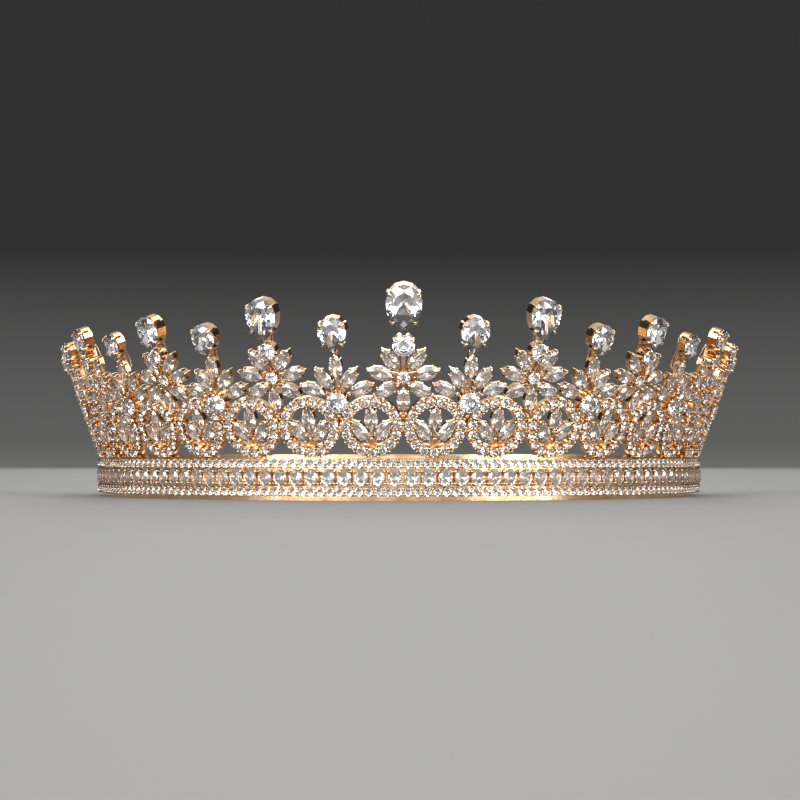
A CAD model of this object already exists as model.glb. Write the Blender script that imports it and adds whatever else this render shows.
"""Bridal crown: cut stones, claws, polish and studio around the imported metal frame."""

import math
import random
from collections import namedtuple

import bpy
from mathutils import Matrix, Vector


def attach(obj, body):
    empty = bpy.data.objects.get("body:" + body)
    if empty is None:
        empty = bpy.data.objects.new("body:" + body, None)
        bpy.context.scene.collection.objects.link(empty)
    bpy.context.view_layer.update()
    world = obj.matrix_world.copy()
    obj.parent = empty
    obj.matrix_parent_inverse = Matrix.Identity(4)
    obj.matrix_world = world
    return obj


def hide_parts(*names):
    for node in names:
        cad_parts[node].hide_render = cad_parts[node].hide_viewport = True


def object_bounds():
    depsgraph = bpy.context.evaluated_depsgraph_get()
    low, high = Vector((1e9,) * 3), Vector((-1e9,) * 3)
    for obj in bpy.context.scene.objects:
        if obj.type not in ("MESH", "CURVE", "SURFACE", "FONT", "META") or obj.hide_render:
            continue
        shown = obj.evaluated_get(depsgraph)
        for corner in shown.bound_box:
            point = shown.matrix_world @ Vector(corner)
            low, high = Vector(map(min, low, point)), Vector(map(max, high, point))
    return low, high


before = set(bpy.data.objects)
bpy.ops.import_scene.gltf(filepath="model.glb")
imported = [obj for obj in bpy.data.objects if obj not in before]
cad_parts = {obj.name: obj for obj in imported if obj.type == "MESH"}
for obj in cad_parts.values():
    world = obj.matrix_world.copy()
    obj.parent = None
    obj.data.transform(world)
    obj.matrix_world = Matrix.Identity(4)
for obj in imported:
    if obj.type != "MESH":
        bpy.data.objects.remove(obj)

bl_info = {
    "name": "Bridal crown",
    "version": (1, 0, 0),
    "blender": (4, 5, 0),
    "location": "3D View > Sidebar > Crown",
    "description": "Cuts the stones, raises the claws and lights the crown",
    "category": "Object",
}

CAD_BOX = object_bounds()

# Plan of the frame, in millimetres as in its drawing
MM = 0.001
RAIL_RADIUS = 75.0
BAND_HEIGHT = 10.4
BAND_HALF_ANGLE = math.radians(115)
CENTER_Y = 20.4
LEAN = math.radians(18.5)
UNIT_PITCH = math.radians(10.3)
RING_SLOPE = 6.9
RING_RADIUS = 5.85
FLOWER_SLOPE = 18.6
FAN_SLOPE = 13.0
LOWER_ROW_Z = 2.0
OVAL_Z = 5.2
UPPER_ROW_Z = 8.3
INNER_WALL = 74.6

# Sizes and numbers of the stones
PETAL_LENGTH = 6.0
PETAL_WIDTH = 3.0
CENTER_ROUND = 2.8
RING_STONE = 2.3
RING_STONES = 15
ROW_STONE = 2.12
ROW_STONES = 142
OVAL_WIDTH = 3.2
OVAL_HEIGHT = 4.0
OVAL_COUNT = 82

# Heights of the girdles, and of the pears' lowest points, above the crest's back plane, and
# the radius of the girdles round the band
LEAF_GIRDLE = 1.75
PETAL_GIRDLE = 2.3
CENTER_GIRDLE = 2.4
RING_GIRDLE = 2.1
FAN_ROUND_GIRDLE = 3.15
TOP_ROUND_GIRDLE = 3.4
PEAR_CULET = 1.2
BAND_GIRDLE = 77.3

# Columns: kind, pear's width, length and the slope of its tip, round's width and its offset.
# A width of 0 leaves the stone out.
Unit = namedtuple("Unit", "kind pear_width pear_length pear_tip round_width round_offset")
UNITS = tuple(Unit(*row) for row in (
    ("flower", 8.0, 11.4, 28.7, 5.0, 7.5),
    ("fan", 6.4, 8.0, 24.7, 4.8, 0),
    ("flower", 7.0, 9.6, 27.5, 4.0, 6.3),
    ("fan", 5.8, 7.0, 24.6, 4.6, 0),
    ("flower", 6.2, 7.8, 26.4, 3.4, 5.9),
    ("fan", 5.0, 6.2, 24.5, 4.6, 0),
    ("flower", 5.2, 6.6, 26.2, 3.4, 5.8),
    ("fan", 4.6, 5.6, 24.5, 4.4, 0),
    ("flower", 4.4, 5.4, 22.4, 0, 0),
    ("fan", 0, 0, 0, 4.4, 0),
))
SIDE_NAMES = {-1: "left", 1: "right"}
# Columns: direction from the flower's centre, distance, turn of the petal's own axis
FLOWER_PETALS = (
    (37, 4.9, 36), (-37, 4.9, -36), (81, 5.15, 74), (-81, 5.15, -74),
    (128, 4.85, 114), (-128, 4.85, -114), (180, 5.3, 180),
)
FAN_PETALS = ((28, 6, 38), (-28, 6, -38), (63, 6.1, 68), (-63, 6.1, -68), (0, 8, 0))
# Columns: across, up, turn
LEAVES = ((0, 1.8, 0), (2.55, -0.95, 35), (-2.55, -0.95, -35))

# Cut of a stone, as parts of its width
CROWN_PART = 0.15
GIRDLE_PART = 0.05
PAVILION_PART = 0.4
SMALL_PAVILION_PART = 0.32
TABLE_PART = 0.56
# Tilts of the star and upper girdle facets, as parts of a main facet's, and depth of the
# lower girdle facets, as a part of the pavilion's
STAR_TILT = 0.7
UPPER_GIRDLE_TILT = 1.2
LOWER_GIRDLE_STEEP = 1.06
# Number of girdle flats: on a round, on a small round, and along the arcs of the long cuts
ROUND_FLATS = 16
SMALL_FLATS = 8
MARQUISE_ARC_FLATS = 8
PEAR_TAIL_FLATS = 4
PEAR_HEAD_FLATS = 8
# The rough block: its width for a stone's length, and what it has to spare in height
BLOCK_PART = 2.2
BLOCK_SPARE = 0.2
# Corners as near as this are one, and a face as level as this is a table
CUT_LIMIT = 0.00001
MERGE_DISTANCE = 0.002
FLAT_NORMAL = 0.99
# Range of the faint tints of a lot's stones
LOT_SPREAD = 0.35

# Starts of the random draws: tones of a stone's facets, and faint tints of the stones of a lot
TONE_SEEDS = {
    "marquise": 3, "center": 5, "ring": 7, "oval": 8, "row": 9, "pear": 20, "round": 60,
}
LOT_SEEDS = {
    "petal": 11, "leaf": 12, "center": 13, "ring": 14, "lower": 15, "upper": 16, "oval": 17,
    "row_back": 18, "oval_back": 19, "ring_back": 20, "pear": 40, "round": 80,
}

# A claw: its foot as a part of its radius, and its widening on the way up to the girdle.
# Columns of its tip: part of the rise, part of the bend, widening.
CLAW_FOOT = 0.85
CLAW_FLARE = 1.25
CLAW_TIP = ((0.45, 0.1, 1.05), (0.35, 0.4, 0.85), (0.2, 0.5, 0.5))
# Columns: depth below the girdle, rise above it, bend inwards, sides
CREST_CLAW = (1.2, 0.55, 0.35, 6)
# Columns: radius, depth, rise, bend, sides
RING_BEAD = (0.27, 0.9, 0.4, 0.12, 5)
BAND_BEAD = (0.2, 0.55, 0.3, 0.12, 5)
OVAL_POST = (0.26, 1.5, 0.45, 0.3, 6)
SOLDER_BALL = (0.46, 0.5, 0.5, 0.0, 10)
STRUT_ROD = (0.2, 0.5, 0.5, 0.0, 8)

# Claws round each stone: places in millimetres from its middle or its edge, sizes as scales of
# a claw, and the way to those on a pear's head in degrees from its top
CLAW_CLEARANCE = 0.05
MARQUISE_SIDE_X = 1.12
MARQUISE_SIDE_Y = 1.75
MARQUISE_SIDE_TURN = 0.45
MARQUISE_TIP_Y = 3.0
MARQUISE_TIP_CLAW = 1.2
ROUND_CLAWS = 6
ROUND_CLAW = 1.25
CENTER_CLAW = 0.9
PEAR_HEAD_WAY = 58
PEAR_TAIL_PART = 0.62
PEAR_CLAW = 1.1
PEAR_CLAW_GROWTH = 0.1
RING_BEAD_OFFSETS = (-0.95, 1.0)
BAND_BEAD_OFFSET = 0.72
OVAL_POST_OFFSET = 1.35
OVAL_POST_SPREAD = 0.27

# Cup of a ring stone
CUP_SIDES = 8
CUP_RADIUS = 1.08
CUP_DEPTH = 0.95
CUP_HEIGHT = 0.8
CUP_FLARE = 1.04
CUP_WALL = 0.12
CUP_HOLLOW = 0.78

# Frame round the open back of a marquise setting
PLATE_Z = -1.62
PLATE_THICKNESS = 0.14
PLATE_OUTLINE = 0.84
PLATE_FRAME = 0.36
UPRIGHT_NORMAL = 0.9

# Opening behind a small stone. Columns: half width, half height, sides.
ROUND_RIM = (0.66, 0.66, 10)
OVAL_RIM = (1.42, 1.5, 14)
ROUND_BACK = (0.66, 0.66, 8)
OVAL_BACK = (1.42, 1.5, 12)
# Steps of a rim: outwards and up. Steps of a stone's back: narrowing, and rise for half its width.
RIM_FOOT = 0.05
RIM_STEPS = ((0.02, 0.2), (0.12, 0.02), (0.06, -0.08), (0.0, -0.14))
BACK_FOOT = 0.02
BACK_EDGE = 0.95
BACK_EDGE_RISE = 0.04
BACK_FACETS = ((0.5, 0.14), (0.1, 0.07))

# Solder balls, struts below the upper rounds and bent stays behind the pears
BALL_SLOPES = (6.7, 9.4)
BALL_HEIGHT = 1.5
LEAF_BALL_SLOPE = 4.0
LEAF_BALL_HEIGHT = 1.2
STRUT_HEIGHT = 1.9
STRUT_FOOT_X = 0.5
STRUT_FOOT_UP = 1.0
STRUT_HEAD_PART = 0.36
STRUT_HEAD_DOWN = 0.8
STAY_RADIUS = 0.24
STAY_SIDES = 8
STAY_TOP_PART = 0.3
STAY_BELOW_TIP = 3.4
STAY_END_HEIGHT = 0.1
STAY_BENDS = ((0.3, 0.1), (0.3, 0.15), (0.2, 0.25), (0.1, 0.3), (-0.35, 0.1), (-0.55, 0.1))

# Twisted wire of the hair-pin loops
LOOP_ANGLE = math.radians(93)
LOOP_CENTER = 70.0
LOOP_Z = 4.5
LOOP_RADIUS = 2.8
LOOP_WIND = 0.4
LOOP_STRAND = 0.17
LOOP_STRANDS = 3
LOOP_TWISTS = 7
LOOP_STEPS = 112

# Gold: scale and detail of its clouds, wear and grain
GOLD_CLOUDS = (260, 3)
GOLD_CLOUD_STOPS = (0.35, 0.65)
GOLD_WEAR = (1400, 4)
GOLD_WEAR_RANGE = (0.3, 0.7)
GOLD_WEAR_PARTS = (0.75, 1.35)
GOLD_GRAIN = (5200, 2)
GOLD_GRAIN_STRENGTH = 0.02
GOLD_GRAIN_DEPTH = 0.00002
# Stone: tones of its facets, each with its place on the ramp and its parts of the tint
STONE_ROUGHNESS = 0.02
STONE_IOR = 2.15
STONE_TONES = (
    (0.0, (0.86, 0.86, 0.86)),
    (0.3, (0.95, 0.95, 0.95)),
    (0.6, (1.0, 1.0, 1.0)),
    (0.88, (0.95, 0.95, 0.95)),
    (0.93, (0.80, 0.86, 1.0)),
    (1.0, (1.0, 0.95, 0.78)),
)
UNDERSIDE_CLEARNESS = 0.2

# The studio floor runs flat and then sweeps up: outer radius and rise of each step, in metres
FLOOR_RADIUS = 0.4
FLOOR_SIDES = 96
FLOOR_SWEEP = (
    (1.6, 0), (1.9, 0.02), (2.15, 0.07), (2.35, 0.16), (2.5, 0.3), (2.58, 0.5), (2.62, 0.8),
)
# The floor darkens as it sweeps up: height in metres, and parts of its colour
FLOOR_TONES = ((0.0, (1.0, 1.0, 1.0)), (0.03, (0.7, 0.7, 0.7)), (0.3, (0.08, 0.08, 0.08)))
FLOOR_CLOUDS = (30, 3)
FLOOR_ROUGHNESS = (0.72, 0.78)
# The room's light from the horizon up
ROOM_TONES = (
    (0.0, (0.75, 0.75, 0.76)),
    (0.12, (0.6, 0.6, 0.62)),
    (0.35, (0.12, 0.12, 0.13)),
    (0.6, (0.7, 0.7, 0.72)),
    (1.0, (1.0, 1.0, 1.0)),
)
ROOM_STRENGTH = 0.8
# Columns: name, place from the crown's middle and size in metres, power in watts
LIGHTS = (
    ("key", (-1.1, -1.5, 0.64), 1.2, 36),
    ("fill", (1.2, -1.3, 0.5), 1.2, 30),
    ("front", (0.0, -1.9, 0.6), 1.2, 9),
    ("top", (0.1, 0.1, 1.1), 0.7, 2),
    ("back", (0.0, 1.1, 0.5), 0.6, 3),
)
SENSOR_WIDTH = 36
CLIP_START = 0.01


# Places

def placed(spot, along, up, turn):
    """The place at a spot in millimetres, x along the band and y up, turned clockwise."""
    axes = Matrix((along, up, along.cross(up))).transposed().to_4x4()
    turned = axes @ Matrix.Rotation(-turn, 4, "Z")
    return Matrix.Translation(spot * MM) @ turned @ Matrix.Scale(MM, 4)


def on_crest(heading, across, slope, height, turn=0.0):
    """A place on the leaning crest: x along the band, y up the lean, z outwards."""
    sine, cosine = math.sin(heading), math.cos(heading)
    along = Vector((cosine, sine, 0))
    up = Vector((sine * math.sin(LEAN), -cosine * math.sin(LEAN), math.cos(LEAN)))
    foot = Vector((RAIL_RADIUS * sine, CENTER_Y - RAIL_RADIUS * cosine, BAND_HEIGHT))
    spot = foot + across * along + slope * up + height * along.cross(up)
    return placed(spot, along, up, turn)


def on_band(heading, z, radius):
    """A place on the band: x along it, y up, z outwards."""
    sine, cosine = math.sin(heading), math.cos(heading)
    spot = Vector((radius * sine, CENTER_Y - radius * cosine, z))
    return placed(spot, Vector((cosine, sine, 0)), Vector((0, 0, 1)), 0.0)


def sides_of(index):
    return (-1, 1) if index else (0,)


def numbered(stem, index, side):
    return f"{stem}_{SIDE_NAMES[side]}_{index}" if index else f"{stem}_center"


def units():
    """The heading and the sizes of every flower and fan."""
    for index, unit in enumerate(UNITS):
        for side in sides_of(index):
            yield side * index * UNIT_PITCH, unit


def ring_headings():
    return [side * (k + 0.5) * UNIT_PITCH for k in range(len(UNITS)) for side in (-1, 1)]


def middle_slope(unit):
    return FLOWER_SLOPE if unit.kind == "flower" else FAN_SLOPE


def petal_places():
    places = []
    for heading, unit in units():
        for way, distance, turn in FLOWER_PETALS if unit.kind == "flower" else FAN_PETALS:
            across = distance * math.sin(math.radians(way))
            slope = middle_slope(unit) + distance * math.cos(math.radians(way))
            places.append(on_crest(heading, across, slope, PETAL_GIRDLE, math.radians(turn)))
    return places


def leaf_places():
    return [
        on_crest(heading, across, RING_SLOPE + up, LEAF_GIRDLE, math.radians(turn))
        for heading in ring_headings()
        for across, up, turn in LEAVES
    ]


def ring_stone_places(height):
    places = []
    for heading in ring_headings():
        for k in range(RING_STONES):
            way = 2 * math.pi * (k + 0.5) / RING_STONES
            across = RING_RADIUS * math.sin(way)
            slope = RING_SLOPE + RING_RADIUS * math.cos(way)
            places.append(on_crest(heading, across, slope, height, way))
    return places


def center_place(heading):
    return on_crest(heading, 0, FLOWER_SLOPE, CENTER_GIRDLE)


def round_place(heading, unit):
    """The middle of the girdle of a unit's large round."""
    height = TOP_ROUND_GIRDLE if unit.kind == "flower" else FAN_ROUND_GIRDLE
    return on_crest(heading, 0, middle_slope(unit) + unit.round_offset, height)


def pear_place(heading, unit):
    """The middle of the round head of a unit's pear, at its girdle."""
    slope = unit.pear_tip + unit.pear_length - unit.pear_width / 2
    height = PEAR_CULET + (PAVILION_PART + GIRDLE_PART / 2) * unit.pear_width
    return on_crest(heading, 0, slope, height)


def row_headings(count):
    """Headings of the stones of a row round the band."""
    step = 2 * BAND_HALF_ANGLE / count
    return [(k + 0.5) * step - BAND_HALF_ANGLE for k in range(count)]


def gap_headings(count):
    """Headings between the stones of a row, and at both its ends."""
    step = 2 * BAND_HALF_ANGLE / count
    return [k * step - BAND_HALF_ANGLE for k in range(count + 1)]


def claw_at(x, y, out_way, scale=1.0):
    """Where a claw stands beside a stone: out_way is its outward direction."""
    turned = Matrix.Rotation(out_way, 4, "Z")
    return Matrix.Translation((x, y, 0)) @ turned @ Matrix.Scale(scale, 4)


def claw_round(width, way, scale):
    """Where a claw stands beside a round edge of this width."""
    reach = width / 2 + CLAW_CLEARANCE
    return claw_at(reach * math.cos(way), reach * math.sin(way), way, scale)


# Modelling

def nothing_selected():
    if bpy.context.object and bpy.context.object.mode != "OBJECT":
        bpy.ops.object.mode_set(mode="OBJECT")
    bpy.ops.object.select_all(action="DESELECT")


def circle_started(name, sides, radius=1, z=0, fill="NGON"):
    """Starts a piece from a circle, in edit mode with all of it selected."""
    nothing_selected()
    bpy.ops.mesh.primitive_circle_add(
        vertices=sides, radius=radius, fill_type=fill, location=(0, 0, z)
    )
    piece = bpy.context.object
    piece.name = name
    bpy.ops.object.mode_set(mode="EDIT")
    bpy.ops.mesh.select_all(action="SELECT")
    return piece


def block_started(name, size, z=0):
    """Starts a piece from a block, in edit mode."""
    nothing_selected()
    bpy.ops.mesh.primitive_cube_add(size=1, location=(0, 0, z))
    piece = bpy.context.object
    piece.name = name
    bpy.ops.object.mode_set(mode="EDIT")
    bpy.ops.transform.resize(value=size)
    return piece


def extruded(way, widening=None):
    """Extrudes what is selected, and widens its new end along x and y."""
    bpy.ops.mesh.extrude_region_move(TRANSFORM_OT_translate={"value": way})
    if widening:
        bpy.ops.transform.resize(value=(*widening, 1))


def mesh_finished(smooth=False):
    """Turns the faces outwards, leaves edit mode and puts the piece's place in its mesh."""
    bpy.ops.mesh.select_all(action="SELECT")
    bpy.ops.mesh.normals_make_consistent(inside=False)
    bpy.ops.object.mode_set(mode="OBJECT")
    bpy.ops.object.transform_apply(location=True, rotation=True, scale=True)
    if smooth:
        bpy.ops.object.shade_smooth()


def cut_facet(azimuth, tilt, distance, z):
    """One facet, ground flat: the plane leans by tilt and passes distance from the axis at z."""
    way = Vector((math.cos(azimuth), math.sin(azimuth), 0))
    normal = way * math.sin(tilt) + Vector((0, 0, math.cos(tilt)))
    bpy.ops.mesh.select_all(action="SELECT")
    bpy.ops.mesh.bisect(
        plane_co=way * distance + Vector((0, 0, z)),
        plane_no=normal,
        use_fill=True,
        clear_outer=True,
        threshold=CUT_LIMIT,
    )


def arc_of_round(width, angle, count):
    """Flats of a round edge over an angle from x: azimuth and distance of each."""
    step = angle / count
    distance = width / 2 * math.cos(step / 2)
    return [(angle * (k + 0.5) / count, distance) for k in range(count)]


def arc_flats(width, length_half, low, high, count):
    """Flats of one long arc of a marquise or pear, on the right-hand side."""
    radius = (length_half**2 + width**2 / 4) / width
    reach = math.asin(length_half / radius)
    step = reach * (high - low) / count
    flats = []
    for k in range(count):
        azimuth = reach * low + (k + 0.5) * step
        distance = radius * math.cos(step / 2) + (width / 2 - radius) * math.cos(azimuth)
        flats.append((azimuth, distance))
    return flats


def mirrored(flats):
    return [(math.pi - azimuth, distance) for azimuth, distance in reversed(flats)]


def marquise_flats(width, length):
    right = arc_flats(width, length / 2, -1, 1, MARQUISE_ARC_FLATS)
    return right + mirrored(right)


def pear_flats(width, length):
    tail = arc_flats(width, length - width / 2, -1, 0, PEAR_TAIL_FLATS)
    return tail + arc_of_round(width, math.pi, PEAR_HEAD_FLATS) + mirrored(tail)


def between(first, second):
    """The direction and distance of the girdle's corner between two flats."""
    gap = (second[0] - first[0]) % (2 * math.pi)
    azimuth = first[0] + gap / 2
    distance = (first[1] + second[1]) / 2 / math.cos(gap / 2)
    return azimuth, distance


def tone_facets(stone, seed):
    """Gives each facet a tone of its own; a flat table has tone 0."""
    draw = random.Random(seed)
    tones = [
        0.0 if face.normal.z > FLAT_NORMAL else draw.random() for face in stone.data.polygons
    ]
    layer = stone.data.attributes.new("facet", "FLOAT", "FACE")
    layer.data.foreach_set("value", tones)


def model_stone(name, seed, width, length, flats, pavilion=PAVILION_PART):
    """Grinds a rough block to a cut stone with its girdle at height 0."""
    girdle = GIRDLE_PART * width / 2
    table = girdle + CROWN_PART * width
    culet = girdle + pavilion * width
    depth = culet - girdle
    inset = (1 - TABLE_PART) / 2 * width
    main_tilt = math.atan2(CROWN_PART * width, inset)
    across = BLOCK_PART * length
    stone = block_started(name, (across, across, 2 * culet + BLOCK_SPARE))
    cut_facet(0, 0, 0, table)
    for azimuth, distance in flats:
        cut_facet(azimuth, math.pi / 2, distance, 0)
    count = len(flats)
    corners = [between(flats[k], flats[(k + 1) % count]) for k in range(count)]
    mains = [corner for corner in corners[::2] if corner[1] < length]
    stars = [corner for corner in corners[1::2] if corner[1] < length]
    for azimuth, distance in mains:
        cut_facet(azimuth, main_tilt, distance, girdle)
        cut_facet(azimuth, math.pi - math.atan2(depth, distance), distance, -girdle)
    for azimuth, distance in stars:
        cut_facet(azimuth, main_tilt * STAR_TILT, distance - inset, table)
    for azimuth, distance in flats:
        cut_facet(azimuth, main_tilt * UPPER_GIRDLE_TILT, distance, girdle)
        steep = math.atan2(LOWER_GIRDLE_STEEP * depth, distance)
        cut_facet(azimuth, math.pi - steep, distance, -girdle)
    bpy.ops.mesh.select_all(action="SELECT")
    bpy.ops.mesh.remove_doubles(threshold=MERGE_DISTANCE)
    mesh_finished()
    tone_facets(stone, seed)
    return stone


def model_round(name, seed, width, count=ROUND_FLATS, pavilion=PAVILION_PART):
    flats = arc_of_round(width, 2 * math.pi, count)
    return model_stone(name, seed, width, width, flats, pavilion)


def model_claw(name, radius, depth, rise, bend, sides):
    """A tapered post outside the girdle whose rounded tip bends in over the stone."""
    claw = circle_started(name, sides, radius * CLAW_FOOT, -depth)
    extruded((0, 0, depth), (CLAW_FLARE, CLAW_FLARE))
    for up, inwards, widening in CLAW_TIP:
        extruded((-inwards * bend, 0, rise * up), (widening, widening))
    mesh_finished(smooth=True)
    return claw


def model_stay():
    """A bent wire of length 1 that bows out along x and comes back at both ends."""
    stay = circle_started("stay", STAY_SIDES, STAY_RADIUS)
    for bow, run in STAY_BENDS:
        extruded((bow, 0, run))
    mesh_finished(smooth=True)
    return stay


def model_rim(name, half_width, half_height, sides):
    """A raised rim round an oval opening at height 0."""
    rim = circle_started(name, sides, z=-RIM_FOOT, fill="NOTHING")
    bpy.ops.transform.resize(value=(half_width, half_height, 1))
    spread = 0.0
    for outward, rise in RIM_STEPS:
        wide = half_width + spread
        tall = half_height + spread
        extruded((0, 0, rise), ((wide + outward) / wide, (tall + outward) / tall))
        spread += outward
    bpy.ops.mesh.select_non_manifold(extend=False)
    bpy.ops.mesh.bridge_edge_loops()
    mesh_finished()
    return rim


def model_back(name, half_width, half_height, sides):
    """The back of a set stone: facets that rise to the culet in the opening."""
    back = circle_started(name, sides, z=-BACK_FOOT)
    bpy.ops.transform.resize(value=(half_width, half_height, 1))
    extruded((0, 0, BACK_EDGE_RISE), (BACK_EDGE, BACK_EDGE))
    for narrowing, rise in BACK_FACETS:
        extruded((0, 0, rise * half_width), (narrowing, narrowing))
    mesh_finished()
    tone_facets(back, sides)
    return back


def model_cup():
    """The cup under a ring stone."""
    cup = circle_started("cup", CUP_SIDES, CUP_RADIUS, -CUP_DEPTH)
    extruded((0, 0, CUP_HEIGHT), (CUP_FLARE, CUP_FLARE))
    bpy.ops.mesh.inset(thickness=CUP_WALL, depth=0)
    extruded((0, 0, -CUP_HOLLOW))
    mesh_finished()
    return cup


def model_back_plate():
    """The thin frame round the open back of a marquise setting."""
    across = 2 * PETAL_LENGTH
    plate = block_started("plate", (across, across, PLATE_THICKNESS), PLATE_Z)
    for azimuth, distance in marquise_flats(PETAL_WIDTH, PETAL_LENGTH):
        cut_facet(azimuth, math.pi / 2, PLATE_OUTLINE * distance, 0)
    bpy.ops.mesh.select_mode(type="FACE")
    bpy.ops.mesh.select_all(action="DESELECT")
    bpy.ops.object.mode_set(mode="OBJECT")
    for face in plate.data.polygons:
        face.select = abs(face.normal.z) > UPRIGHT_NORMAL
    bpy.ops.object.mode_set(mode="EDIT")
    bpy.ops.mesh.inset(thickness=PLATE_FRAME, depth=0)
    bpy.ops.mesh.bridge_edge_loops()
    bpy.ops.mesh.select_mode(type="VERT")
    mesh_finished()
    return plate


def new_object(name, data):
    item = bpy.data.objects.new(name, data)
    bpy.context.scene.collection.objects.link(item)
    return item


def copies_of(master, places, seed=None):
    """Copies of a modelled master, each with its own mesh."""
    draw = random.Random(seed)
    copies = []
    for place in places:
        mesh = master.data.copy()
        mesh.transform(place)
        if seed is not None:
            layer = mesh.attributes.new("lot", "FLOAT", "POINT")
            layer.data.foreach_set("value", [LOT_SPREAD * draw.random()] * len(mesh.vertices))
        copies.append(new_object(master.name, mesh))
    return copies


def joined(name, pieces):
    nothing_selected()
    for piece in pieces:
        piece.select_set(True)
    bpy.context.view_layer.objects.active = pieces[0]
    if len(pieces) > 1:
        bpy.ops.object.join()
    pieces[0].name = name
    pieces[0].data.name = name
    return pieces[0]


def removed(*masters):
    for master in masters:
        bpy.data.objects.remove(master)


def finish_piece(piece, finish, *nodes):
    """Gives a piece its material and slot, and lets it stand for the nodes that are named."""
    material, slot = finish()
    piece.data.materials.clear()
    piece.data.materials.append(material)
    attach(piece, "root")
    if nodes:
        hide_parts(*nodes)


def set_copies(name, master, places, finish, *nodes, seed=None):
    """One finished piece of copies of a master."""
    finish_piece(joined(name, copies_of(master, places, seed)), finish, *nodes)


def stones_in_pairs(stone, stem, index, place_of):
    """Sets a unit's stone on both sides, or once in the middle, for the nodes of that name."""
    for side in sides_of(index):
        name = numbered(f"{stem}_stone", index, side)
        place = place_of(side * index * UNIT_PITCH, UNITS[index])
        seed = LOT_SEEDS[stem] + 2 * index + side
        set_copies(f"{name}_cut", stone, [place], white_stone, name, seed=seed)
    removed(stone)


# Materials

def new_material(name):
    material = bpy.data.materials.new(name)
    material.use_nodes = True
    nodes = material.node_tree.nodes
    nodes.clear()
    output = nodes.new("ShaderNodeOutputMaterial")
    shader = nodes.new("ShaderNodeBsdfPrincipled")
    material.node_tree.links.new(shader.outputs[0], output.inputs[0])
    return material, nodes, material.node_tree.links, shader


def toned(tint, tones):
    """Stops of a ramp in tones of a tint."""
    return [
        (position, tuple(part * value for part, value in zip(parts, tint)))
        for position, parts in tones
    ]


def ramp_of(nodes, links, value, stops):
    """The colour at a value on a ramp with these stops."""
    ramp = nodes.new("ShaderNodeValToRGB")
    elements = ramp.color_ramp.elements
    while len(elements) < len(stops):
        elements.new(0.5)
    for element, (position, color) in zip(elements, stops):
        element.position = position
        element.color = (*color, 1)
    links.new(value, ramp.inputs["Fac"])
    return ramp.outputs["Color"]


def height_ramp(nodes, links, place, stops):
    parts = nodes.new("ShaderNodeSeparateXYZ")
    links.new(place, parts.inputs["Vector"])
    return ramp_of(nodes, links, parts.outputs["Z"], stops)


def noise_of(nodes, links, coordinates, scale, detail):
    noise = nodes.new("ShaderNodeTexNoise")
    noise.inputs["Scale"].default_value = scale
    noise.inputs["Detail"].default_value = detail
    links.new(coordinates, noise.inputs["Vector"])
    return noise.outputs["Fac"]


def spread_of(nodes, links, value, start, end):
    """Maps a value from its start range to its end range."""
    spread = nodes.new("ShaderNodeMapRange")
    limits = (*start, *end)
    for socket, limit in zip(("From Min", "From Max", "To Min", "To Max"), limits):
        spread.inputs[socket].default_value = limit
    links.new(value, spread.inputs["Value"])
    return spread.outputs["Result"]


def gold_finish(name, deep, pale, roughness):
    """Polished plated gold: faint clouding of the plate, hairline scratches, soft wear."""
    if name in bpy.data.materials:
        return bpy.data.materials[name]
    material, nodes, links, shader = new_material(name)
    shader.inputs["Metallic"].default_value = 1.0
    place = nodes.new("ShaderNodeTexCoord").outputs["Object"]
    clouds = noise_of(nodes, links, place, *GOLD_CLOUDS)
    stops = list(zip(GOLD_CLOUD_STOPS, (deep, pale)))
    links.new(ramp_of(nodes, links, clouds, stops), shader.inputs["Base Color"])
    worn = noise_of(nodes, links, place, *GOLD_WEAR)
    limits = [roughness * part for part in GOLD_WEAR_PARTS]
    links.new(spread_of(nodes, links, worn, GOLD_WEAR_RANGE, limits), shader.inputs["Roughness"])
    grain = noise_of(nodes, links, place, *GOLD_GRAIN)
    bump = nodes.new("ShaderNodeBump")
    bump.inputs["Strength"].default_value = GOLD_GRAIN_STRENGTH
    bump.inputs["Distance"].default_value = GOLD_GRAIN_DEPTH
    links.new(grain, bump.inputs["Height"])
    links.new(bump.outputs["Normal"], shader.inputs["Normal"])
    return material


def stone_finish(name, tint, clearness):
    """Clear cut stone: every facet has its own tone, and every stone its own faint tint."""
    if name in bpy.data.materials:
        return bpy.data.materials[name]
    material, nodes, links, shader = new_material(name)
    shader.inputs["Roughness"].default_value = STONE_ROUGHNESS
    shader.inputs["IOR"].default_value = STONE_IOR
    shader.inputs["Transmission Weight"].default_value = clearness
    facet = nodes.new("ShaderNodeAttribute")
    facet.attribute_name = "facet"
    lot = nodes.new("ShaderNodeAttribute")
    lot.attribute_name = "lot"
    add = nodes.new("ShaderNodeMath")
    add.operation = "ADD"
    links.new(facet.outputs["Fac"], add.inputs[0])
    links.new(lot.outputs["Fac"], add.inputs[1])
    turn = nodes.new("ShaderNodeMath")
    turn.operation = "FRACT"
    links.new(add.outputs[0], turn.inputs[0])
    color = ramp_of(nodes, links, turn.outputs[0], toned(tint, STONE_TONES))
    links.new(color, shader.inputs["Base Color"])
    return material


# Each of these gives a material and the record's slot for it

def gold():
    metal = bpy.context.scene.crown_metal
    return gold_finish("polished_gold", metal.deep, metal.pale, metal.roughness), "gold"


def white_stone():
    stones = bpy.context.scene.crown_stones
    return stone_finish("cut_clear_stone", stones.white, stones.clearness), "white_stone"


def small_stone():
    stones = bpy.context.scene.crown_stones
    return stone_finish("cut_small_stone", stones.small, stones.clearness), "white_stone"


def blush_stone():
    stones = bpy.context.scene.crown_stones
    return stone_finish("cut_blush_stone", stones.blush, stones.blush_clearness), "blush_stone"


def stone_underside():
    stones = bpy.context.scene.crown_stones
    material = stone_finish("cut_stone_underside", stones.underside, UNDERSIDE_CLEARNESS)
    return material, "white_stone"


# Settings a user would change

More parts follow.
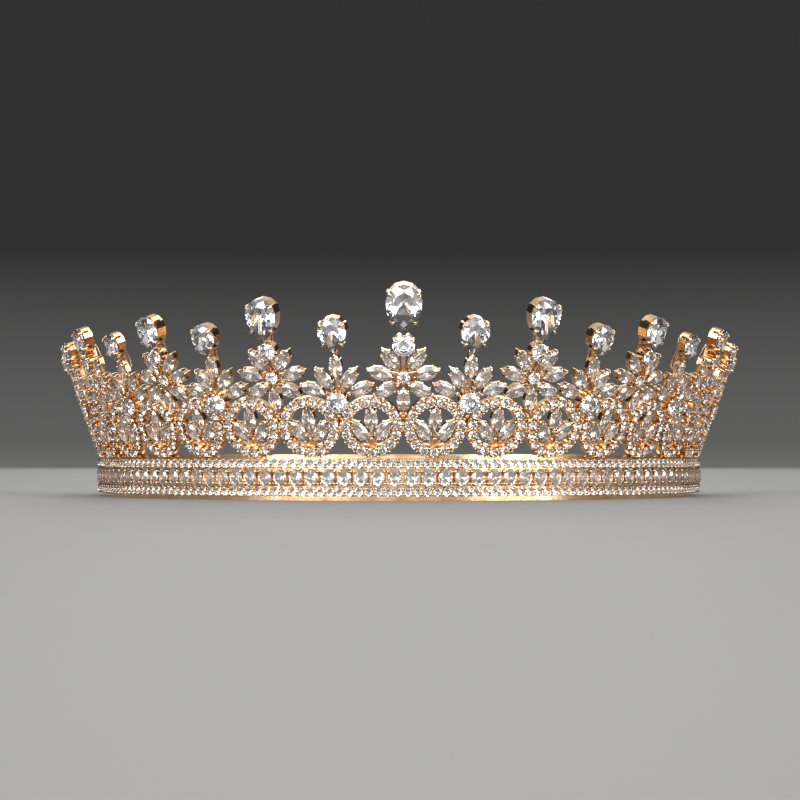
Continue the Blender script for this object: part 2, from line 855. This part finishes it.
class CrownMetalSettings(bpy.types.PropertyGroup):
    """The plated metal and its claws."""

    deep: bpy.props.FloatVectorProperty(
        name="Deep gold", description="Plate colour in the hollows", subtype="COLOR",
        default=(0.80, 0.47, 0.21), min=0, max=1,
    )
    pale: bpy.props.FloatVectorProperty(
        name="Pale gold", description="Plate colour on the polished faces", subtype="COLOR",
        default=(0.95, 0.69, 0.44), min=0, max=1,
    )
    roughness: bpy.props.FloatProperty(
        name="Polish", description="Roughness of the plate", default=0.15, min=0.02, max=0.6,
    )
    claw: bpy.props.FloatProperty(
        name="Claw", description="Radius of a petal's claw in millimetres", default=0.21,
        min=0.1, max=0.4,
    )


class CrownStoneSettings(bpy.types.PropertyGroup):
    """The cut stones."""

    white: bpy.props.FloatVectorProperty(
        name="Clear stone", description="Tint of the round and pear stones",
        subtype="COLOR", default=(0.97, 0.97, 1.0), min=0, max=1,
    )
    blush: bpy.props.FloatVectorProperty(
        name="Blush stone", description="Tint of the marquise and oval stones",
        subtype="COLOR", default=(1.0, 0.87, 0.77), min=0, max=1,
    )
    small: bpy.props.FloatVectorProperty(
        name="Small stone", description="Tint of the small rounds of the rings and the band",
        subtype="COLOR", default=(1.0, 0.92, 0.85), min=0, max=1,
    )
    underside: bpy.props.FloatVectorProperty(
        name="Underside", description="Tint of a small stone's shaded back",
        subtype="COLOR", default=(0.16, 0.14, 0.13), min=0, max=1,
    )
    clearness: bpy.props.FloatProperty(
        name="Clearness", description="Share of the light that passes through a clear stone",
        subtype="FACTOR", default=0.97, min=0, max=1,
    )
    blush_clearness: bpy.props.FloatProperty(
        name="Blush clearness", description="Share of the light that passes through a blush one",
        subtype="FACTOR", default=0.9, min=0, max=1,
    )


class CrownStudioSettings(bpy.types.PropertyGroup):
    """Camera, floor and light."""

    azimuth: bpy.props.FloatProperty(
        name="Camera azimuth", description="Turn of the camera from straight ahead",
        subtype="ANGLE", default=math.radians(-0.7), min=-math.pi, max=math.pi,
    )
    elevation: bpy.props.FloatProperty(
        name="Camera elevation", description="Height of the camera as an angle",
        subtype="ANGLE", default=math.radians(-1.6), min=-0.04, max=math.pi / 2,
    )
    distance: bpy.props.FloatProperty(
        name="Camera distance", description="From the crown's middle", unit="LENGTH",
        default=0.507, min=0.2, max=3,
    )
    lens: bpy.props.FloatProperty(
        name="Lens", description="Focal length", unit="CAMERA", default=91, min=20, max=200,
    )
    floor: bpy.props.FloatVectorProperty(
        name="Floor", description="Colour of the plain floor", subtype="COLOR",
        default=(0.26, 0.257, 0.253), min=0, max=1,
    )


# Pieces

class CROWN_OT_frame(bpy.types.Operator):
    """Polish and plate the soldered frame."""

    bl_idname = "crown.frame"
    bl_label = "Polish the frame"

    def execute(self, context):
        material = gold()[0]
        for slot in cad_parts["crown_frame"].material_slots:
            slot.material = material
        return {"FINISHED"}


class CROWN_OT_marquises(bpy.types.Operator):
    """Cut the marquise stones of the flowers, fans and wreath rings."""

    bl_idname = "crown.marquises"
    bl_label = "Cut the marquises"

    def execute(self, context):
        flats = marquise_flats(PETAL_WIDTH, PETAL_LENGTH)
        seed = TONE_SEEDS["marquise"]
        stone = model_stone("marquise", seed, PETAL_WIDTH, PETAL_LENGTH, flats)
        for name, places, lot in (
            ("petal_stones", petal_places(), "petal"),
            ("wreath_leaf_stones", leaf_places(), "leaf"),
        ):
            seed = LOT_SEEDS[lot]
            set_copies(f"{name}_cut", stone, places, blush_stone, name, seed=seed)
        removed(stone)
        return {"FINISHED"}


class CROWN_OT_flower_centers(bpy.types.Operator):
    """Cut the small round stone at each seven-petal flower's centre."""

    bl_idname = "crown.flower_centers"
    bl_label = "Cut the flowers' centres"

    def execute(self, context):
        stone = model_round("center", TONE_SEEDS["center"], CENTER_ROUND)
        places = [center_place(heading) for heading, unit in units() if unit.kind == "flower"]
        name = "flower_center_stones"
        seed = LOT_SEEDS["center"]
        set_copies(f"{name}_cut", stone, places, white_stone, name, seed=seed)
        removed(stone)
        return {"FINISHED"}


class CROWN_OT_pears(bpy.types.Operator):
    """Cut the pear stones that crown the flowers and fans."""

    bl_idname = "crown.pears"
    bl_label = "Cut the pears"

    def execute(self, context):
        for index, unit in enumerate(UNITS):
            width, length = unit.pear_width, unit.pear_length
            if width:
                flats = pear_flats(width, length)
                stone = model_stone("pear", TONE_SEEDS["pear"] + index, width, length, flats)
                stones_in_pairs(stone, "pear", index, pear_place)
        return {"FINISHED"}


class CROWN_OT_rounds(bpy.types.Operator):
    """Cut the large round stones of the fans and above the flowers."""

    bl_idname = "crown.rounds"
    bl_label = "Cut the large rounds"

    def execute(self, context):
        for index, unit in enumerate(UNITS):
            if unit.round_width:
                stone = model_round("round", TONE_SEEDS["round"] + index, unit.round_width)
                stones_in_pairs(stone, "round", index, round_place)
        return {"FINISHED"}


class CROWN_OT_small_stones(bpy.types.Operator):
    """Set the small rounds on the wreath rings and the band, and the band's ovals."""

    bl_idname = "crown.small_stones"
    bl_label = "Set the small stones"

    def execute(self, context):
        small_cut = (SMALL_FLATS, SMALL_PAVILION_PART)
        ring = model_round("ring", TONE_SEEDS["ring"], RING_STONE, *small_cut)
        places = ring_stone_places(RING_GIRDLE)
        set_copies("ring_stones", ring, places, small_stone, seed=LOT_SEEDS["ring"])
        small = model_round("small", TONE_SEEDS["row"], ROW_STONE, *small_cut)
        for row, z in (("lower", LOWER_ROW_Z), ("upper", UPPER_ROW_Z)):
            places = [on_band(heading, z, BAND_GIRDLE) for heading in row_headings(ROW_STONES)]
            set_copies(f"band_{row}_stones", small, places, small_stone, seed=LOT_SEEDS[row])
        oval = model_round("oval", TONE_SEEDS["oval"], OVAL_WIDTH)
        tall = Matrix.Diagonal((1, OVAL_HEIGHT / OVAL_WIDTH, 1, 1))
        places = [
            on_band(heading, OVAL_Z, BAND_GIRDLE) @ tall for heading in row_headings(OVAL_COUNT)
        ]
        set_copies("band_oval_stones", oval, places, blush_stone, seed=LOT_SEEDS["oval"])
        removed(ring, small, oval)
        return {"FINISHED"}


class CROWN_OT_back_plates(bpy.types.Operator):
    """Frame the open back of every marquise setting with a thin polished plate."""

    bl_idname = "crown.back_plates"
    bl_label = "Frame the settings' backs"

    def execute(self, context):
        plate = model_back_plate()
        set_copies("setting_backs", plate, petal_places() + leaf_places(), gold)
        removed(plate)
        return {"FINISHED"}


def marquise_claw_places():
    """Two claws on each long side of a marquise, and a larger one at each tip."""
    places = []
    for y in (-MARQUISE_SIDE_Y, MARQUISE_SIDE_Y):
        for x in (-MARQUISE_SIDE_X, MARQUISE_SIDE_X):
            places.append(claw_at(x, y, math.atan2(MARQUISE_SIDE_TURN * y, x)))
    for y in (-MARQUISE_TIP_Y, MARQUISE_TIP_Y):
        places.append(claw_at(0, y, math.copysign(math.pi / 2, y), MARQUISE_TIP_CLAW))
    return places


def round_claw_places(width, shift, scale):
    """Claws round a round stone; shift turns them by a part of their pitch."""
    pitch = 2 * math.pi / ROUND_CLAWS
    return [claw_round(width, pitch * (k + shift), scale) for k in range(ROUND_CLAWS)]


def pear_claw_places(width, length):
    """Two claws on a pear's round head and two on its tail."""
    size = PEAR_CLAW + PEAR_CLAW_GROWTH * width
    tail = length - width / 2
    arc_radius = (tail**2 + width**2 / 4) / width
    arc_center = width / 2 - arc_radius
    y = -PEAR_TAIL_PART * tail
    arc_x = math.sqrt(arc_radius**2 - y**2)
    x = arc_x + arc_center + CLAW_CLEARANCE
    tail_way = math.atan2(y, x - arc_center)
    places = []
    for side in (-1, 1):
        head_way = math.radians(90 - side * PEAR_HEAD_WAY)
        places.append(claw_round(width, head_way, size))
        way = tail_way if side > 0 else math.pi - tail_way
        places.append(claw_at(side * x, y, way, size))
    return places


class CROWN_OT_claws(bpy.types.Operator):
    """Raise the claws that hold the stones of the crest."""

    bl_idname = "crown.claws"
    bl_label = "Raise the crest's claws"

    def execute(self, context):
        claw = model_claw("claw", context.scene.crown_metal.claw, *CREST_CLAW)
        cluster = joined("marquise_claws", copies_of(claw, marquise_claw_places()))
        set_copies("petal_claws", cluster, petal_places(), gold)
        set_copies("leaf_claws", cluster, leaf_places(), gold)
        rounds = []
        pears = []
        for heading, unit in units():
            if unit.round_width:
                place = round_place(heading, unit)
                spots = round_claw_places(unit.round_width, 0.5, ROUND_CLAW)
                rounds += [place @ spot for spot in spots]
            if unit.kind == "flower":
                place = center_place(heading)
                spots = round_claw_places(CENTER_ROUND, 0, CENTER_CLAW)
                rounds += [place @ spot for spot in spots]
            if unit.pear_width:
                place = pear_place(heading, unit)
                spots = pear_claw_places(unit.pear_width, unit.pear_length)
                pears += [place @ spot for spot in spots]
        set_copies("round_claws", claw, rounds, gold)
        set_copies("pear_claws", claw, pears, gold)
        removed(cluster, claw)
        return {"FINISHED"}


class CROWN_OT_ring_metal(bpy.types.Operator):
    """Model the cups and claws of the wreath rings' small stones."""

    bl_idname = "crown.ring_metal"
    bl_label = "Model the rings' cups"

    def execute(self, context):
        cup = model_cup()
        bead = model_claw("bead", *RING_BEAD)
        turn = math.pi / RING_STONES
        places = []
        for offset in RING_BEAD_OFFSETS:
            spread = (RING_RADIUS + offset) * math.sin(turn)
            rise = (RING_RADIUS + offset) * math.cos(turn) - RING_RADIUS
            places.append(claw_at(spread, rise, math.copysign(math.pi / 2, offset)))
        cluster = joined("ring_cup", [cup, *copies_of(bead, places)])
        set_copies("ring_cups", cluster, ring_stone_places(RING_GIRDLE), gold)
        removed(cluster, bead)
        return {"FINISHED"}


class CROWN_OT_band_metal(bpy.types.Operator):
    """Raise the claws between the stones of the band."""

    bl_idname = "crown.band_metal"
    bl_label = "Raise the band's claws"

    def execute(self, context):
        bead = model_claw("band_bead", *BAND_BEAD)
        places = []
        for heading in gap_headings(ROW_STONES):
            for z in (LOWER_ROW_Z, UPPER_ROW_Z):
                for way in (-1, 1):
                    place = on_band(heading, z + way * BAND_BEAD_OFFSET, BAND_GIRDLE)
                    places.append(place @ claw_at(0, 0, way * math.pi / 2))
        set_copies("band_beads", bead, places, gold)
        post = model_claw("post", *OVAL_POST)
        places = []
        for heading in gap_headings(OVAL_COUNT):
            for way in (-1, 1):
                place = on_band(heading, OVAL_Z + way * OVAL_POST_OFFSET, BAND_GIRDLE)
                for side, turn in ((-1, 0), (1, math.pi)):
                    places.append(place @ claw_at(side * OVAL_POST_SPREAD, 0, turn))
        set_copies("band_claws", post, places, gold)
        removed(bead, post)
        return {"FINISHED"}


class CROWN_OT_undersides(bpy.types.Operator):
    """Open the metal behind every small stone: a rim round the stone's shaded back."""

    bl_idname = "crown.undersides"
    bl_label = "Open the metal behind the small stones"

    def execute(self, context):
        inwards = Matrix.Rotation(math.pi, 4, "Y")
        rounds = [
            on_band(heading, z, INNER_WALL) @ inwards
            for z in (LOWER_ROW_Z, UPPER_ROW_Z)
            for heading in row_headings(ROW_STONES)
        ]
        ovals = [
            on_band(heading, OVAL_Z, INNER_WALL) @ inwards for heading in row_headings(OVAL_COUNT)
        ]
        rings = [place @ inwards for place in ring_stone_places(0)]
        rim = model_rim("rim", *ROUND_RIM)
        tall_rim = model_rim("tall_rim", *OVAL_RIM)
        back = model_back("back", *ROUND_BACK)
        tall_back = model_back("tall_back", *OVAL_BACK)
        rims = copies_of(rim, rounds) + copies_of(tall_rim, ovals)
        finish_piece(joined("band_rims", rims), gold)
        backs = copies_of(back, rounds, LOT_SEEDS["row_back"])
        backs += copies_of(tall_back, ovals, LOT_SEEDS["oval_back"])
        finish_piece(joined("band_stone_backs", backs), stone_underside)
        set_copies("ring_rims", rim, rings, gold)
        seed = LOT_SEEDS["ring_back"]
        set_copies("ring_stone_backs", back, rings, stone_underside, seed=seed)
        removed(rim, tall_rim, back, tall_back)
        return {"FINISHED"}


def strut_places(heading, unit):
    """The two fine struts that spread from a flower's centre to its upper round."""
    lying = Matrix.Rotation(-math.pi / 2, 4, "X")
    head_slope = FLOWER_SLOPE + unit.round_offset - STRUT_HEAD_DOWN
    places = []
    for way in (-1, 1):
        foot = Vector((STRUT_FOOT_X * way, FLOWER_SLOPE + STRUT_FOOT_UP))
        head = Vector((STRUT_HEAD_PART * unit.round_width * way, head_slope))
        span = head - foot
        middle = (foot + head) / 2
        turn = math.atan2(span.x, span.y)
        place = on_crest(heading, middle.x, middle.y, STRUT_HEIGHT, turn)
        places.append(place @ lying @ Matrix.Diagonal((1, 1, span.length, 1)))
    return places


def stay_place(heading, unit):
    """The bent wire behind a pear, from behind its stone to below its tip."""
    down_and_back = Matrix(((0, 1, 0), (0, 0, -1), (-1, 0, 0))).to_4x4()
    above = STAY_TOP_PART * unit.pear_length
    place = on_crest(heading, 0, unit.pear_tip + above, STAY_END_HEIGHT)
    return place @ down_and_back @ Matrix.Diagonal((1, 1, STAY_BELOW_TIP + above, 1))


class CROWN_OT_joints(bpy.types.Operator):
    """Add the rings' solder balls, the struts below upper rounds and the stays behind pears."""

    bl_idname = "crown.joints"
    bl_label = "Add the balls, struts and stays"

    def execute(self, context):
        ball = model_claw("ball", *SOLDER_BALL)
        rod = model_claw("strut", *STRUT_ROD)
        wire = model_stay()
        balls = []
        struts = []
        stays = []
        for heading, unit in units():
            balls += [on_crest(heading, 0, slope, BALL_HEIGHT) for slope in BALL_SLOPES]
            if unit.pear_width:
                stays.append(stay_place(heading, unit))
            if unit.kind == "flower" and unit.round_width:
                struts += strut_places(heading, unit)
        for heading in ring_headings():
            balls.append(on_crest(heading, 0, LEAF_BALL_SLOPE, LEAF_BALL_HEIGHT))
        set_copies("ring_balls", ball, balls, gold)
        set_copies("flower_struts", rod, struts, gold)
        set_copies("pear_stays", wire, stays, gold)
        removed(ball, rod, wire)
        return {"FINISHED"}


def loop_strand(center, strand):
    """One strand of a hair-pin loop's twisted wire, as a curve."""
    curve = bpy.data.curves.new("loop_wire", "CURVE")
    curve.dimensions = "3D"
    curve.bevel_depth = LOOP_STRAND * MM
    curve.bevel_resolution = 1
    spline = curve.splines.new("POLY")
    spline.points.add(LOOP_STEPS - 1)
    spline.use_cyclic_u = True
    for k in range(LOOP_STEPS):
        way = 2 * math.pi * k / LOOP_STEPS
        twist = LOOP_TWISTS * way + 2 * math.pi * strand / LOOP_STRANDS
        reach = LOOP_RADIUS + LOOP_WIND * math.cos(twist)
        spot = center + Vector((
            reach * math.cos(way), reach * math.sin(way), LOOP_WIND * math.sin(twist)
        ))
        spline.points[k].co = (*(spot * MM), 1)
    return new_object("loop_wire", curve)


class CROWN_OT_loops(bpy.types.Operator):
    """Wind the twisted wire of the two hair-pin loops inside the band."""

    bl_idname = "crown.loops"
    bl_label = "Wind the hair-pin loops"

    def execute(self, context):
        nothing_selected()
        strands = []
        for side in (-1, 1):
            center = Vector((
                side * LOOP_CENTER * math.sin(LOOP_ANGLE),
                CENTER_Y - LOOP_CENTER * math.cos(LOOP_ANGLE),
                LOOP_Z,
            ))
            strands += [loop_strand(center, strand) for strand in range(LOOP_STRANDS)]
        for wire in strands:
            wire.select_set(True)
        context.view_layer.objects.active = strands[-1]
        bpy.ops.object.convert(target="MESH")
        loops = joined("hair_loop_wires", strands)
        bpy.ops.object.shade_smooth()
        finish_piece(loops, gold)
        return {"FINISHED"}


def lay_floor(studio):
    """The plain pale floor, flat under the crown and swept up far away on every side."""
    floor = circle_started("floor", FLOOR_SIDES, FLOOR_RADIUS)
    radius = FLOOR_RADIUS
    for next_radius, rise in FLOOR_SWEEP:
        scale = next_radius / radius
        extruded((0, 0, rise), (scale, scale))
        radius = next_radius
    bpy.ops.mesh.delete(type="ONLY_FACE")
    bpy.ops.mesh.select_all(action="SELECT")
    bpy.ops.mesh.normals_make_consistent(inside=True)
    bpy.ops.object.mode_set(mode="OBJECT")
    bpy.ops.object.shade_smooth()
    material, nodes, links, shader = new_material("pale_floor")
    place = nodes.new("ShaderNodeTexCoord").outputs["Object"]
    color = height_ramp(nodes, links, place, toned(studio.floor, FLOOR_TONES))
    links.new(color, shader.inputs["Base Color"])
    clouds = noise_of(nodes, links, place, *FLOOR_CLOUDS)
    roughness = spread_of(nodes, links, clouds, (0, 1), FLOOR_ROUGHNESS)
    links.new(roughness, shader.inputs["Roughness"])
    floor.data.materials.append(material)


def aimed(item, spot, middle):
    """Puts a light or the camera at a spot, turned to the crown's middle."""
    item.location = spot
    item.rotation_euler = (middle - item.location).to_track_quat("-Z", "Y").to_euler()


def light_room(middle):
    """The room's soft light, and the lights that hang in it."""
    world = bpy.data.worlds.new("studio")
    bpy.context.scene.world = world
    world.use_nodes = True
    nodes, links = world.node_tree.nodes, world.node_tree.links
    sky = nodes.new("ShaderNodeTexCoord").outputs["Generated"]
    glow = nodes["Background"]
    links.new(height_ramp(nodes, links, sky, ROOM_TONES), glow.inputs["Color"])
    glow.inputs["Strength"].default_value = ROOM_STRENGTH
    for name, spot, size, power in LIGHTS:
        light = bpy.data.lights.new(name, "AREA")
        light.size = size
        light.energy = power
        aimed(new_object(name, light), Vector(spot) + middle, middle)


def place_camera(studio, middle):
    """The camera in front of the crown, just above the floor."""
    lens = bpy.data.cameras.new("camera")
    lens.lens = studio.lens
    lens.sensor_width = SENSOR_WIDTH
    lens.clip_start = CLIP_START
    camera = new_object("camera", lens)
    flat = studio.distance * math.cos(studio.elevation)
    spot = middle + Vector((
        flat * math.sin(studio.azimuth),
        -flat * math.cos(studio.azimuth),
        studio.distance * math.sin(studio.elevation),
    ))
    aimed(camera, spot, middle)
    bpy.context.scene.camera = camera


class CROWN_OT_studio(bpy.types.Operator):
    """Lay the pale floor, hang the soft lights and place the camera."""

    bl_idname = "crown.studio"
    bl_label = "Set up the studio"

    def execute(self, context):
        studio = context.scene.crown_studio
        low, high = (Vector(corner) for corner in CAD_BOX)
        middle = (low + high) / 2
        lay_floor(studio)
        light_room(middle)
        place_camera(studio, middle)
        context.scene.view_settings.view_transform = "Standard"
        return {"FINISHED"}


class CROWN_PT_panel(bpy.types.Panel):
    """Lists the crown's settings and steps in the sidebar."""

    bl_label = "Bridal crown"
    bl_idname = "CROWN_PT_panel"
    bl_space_type = "VIEW_3D"
    bl_region_type = "UI"
    bl_category = "Crown"

    def draw(self, context):
        layout = self.layout
        for group in SETTINGS:
            settings = getattr(context.scene, group)
            box = layout.box()
            for name in settings.bl_rna.properties.keys():
                if name not in {"rna_type", "name"}:
                    box.prop(settings, name)
        for step in STEPS:
            layout.operator(step.bl_idname)


SETTINGS = {
    "crown_metal": CrownMetalSettings,
    "crown_stones": CrownStoneSettings,
    "crown_studio": CrownStudioSettings,
}
STEPS = (
    CROWN_OT_frame,
    CROWN_OT_marquises,
    CROWN_OT_flower_centers,
    CROWN_OT_pears,
    CROWN_OT_rounds,
    CROWN_OT_small_stones,
    CROWN_OT_back_plates,
    CROWN_OT_claws,
    CROWN_OT_ring_metal,
    CROWN_OT_band_metal,
    CROWN_OT_undersides,
    CROWN_OT_joints,
    CROWN_OT_loops,
    CROWN_OT_studio,
)


def register():
    for name, settings in SETTINGS.items():
        bpy.utils.register_class(settings)
        setattr(bpy.types.Scene, name, bpy.props.PointerProperty(type=settings))
    for step in STEPS:
        bpy.utils.register_class(step)
    bpy.utils.register_class(CROWN_PT_panel)


def unregister():
    bpy.utils.unregister_class(CROWN_PT_panel)
    for step in reversed(STEPS):
        bpy.utils.unregister_class(step)
    for name, settings in reversed(SETTINGS.items()):
        delattr(bpy.types.Scene, name)
        bpy.utils.unregister_class(settings)


def main():
    register()
    for step in STEPS:
        group, name = step.bl_idname.split(".")
        getattr(getattr(bpy.ops, group), name)()
    bpy.context.view_layer.update()


if __name__ == "__main__":
    main()
